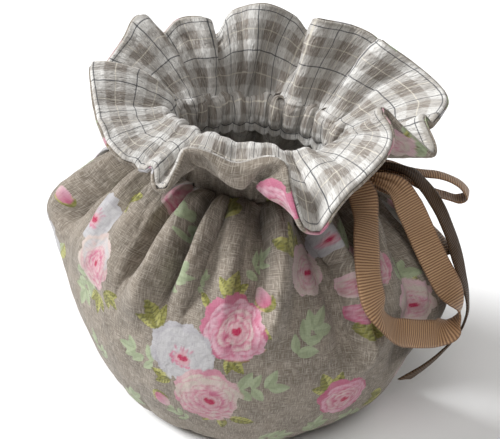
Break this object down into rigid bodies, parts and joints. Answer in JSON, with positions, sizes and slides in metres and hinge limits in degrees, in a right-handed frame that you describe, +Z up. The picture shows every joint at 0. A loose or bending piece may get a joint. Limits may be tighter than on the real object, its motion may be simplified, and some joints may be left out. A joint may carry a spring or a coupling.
{
  "type": "tea cosy",
  "caption": "Frilled drawstring tea cosy: rounded flower-print linen body open at spout and handle, gathered neck, checked lining in a wide ruffle, brown ribbed ribbon bow",
  "frame": {"origin": "on the floor under the middle of the whole cosy, at the height of its hem", "axes": "+Z up; -Y the front with the flower print; -X the spout opening; +X the handle opening and the bow"},
  "size_m": [0.198, 0.1592, 0.1652],
  "materials": {
    "flower_print": "matt linen-look cotton with printed roses",
    "check_lining": "matt woven check",
    "brown_ribbon": "ribbed ribbon with a slight sheen"
  },
  "bodies": {
    "root": {"front_panel": "flower_print", "back_panel": "flower_print", "frill": "flower_print", "frill_lining": "check_lining", "ribbon_loop_long": "brown_ribbon", "ribbon_loop_short": "brown_ribbon", "ribbon_tail_long": "brown_ribbon", "ribbon_tail_short": "brown_ribbon", "ribbon_knot": "brown_ribbon"}
  },
  "joints": []
}
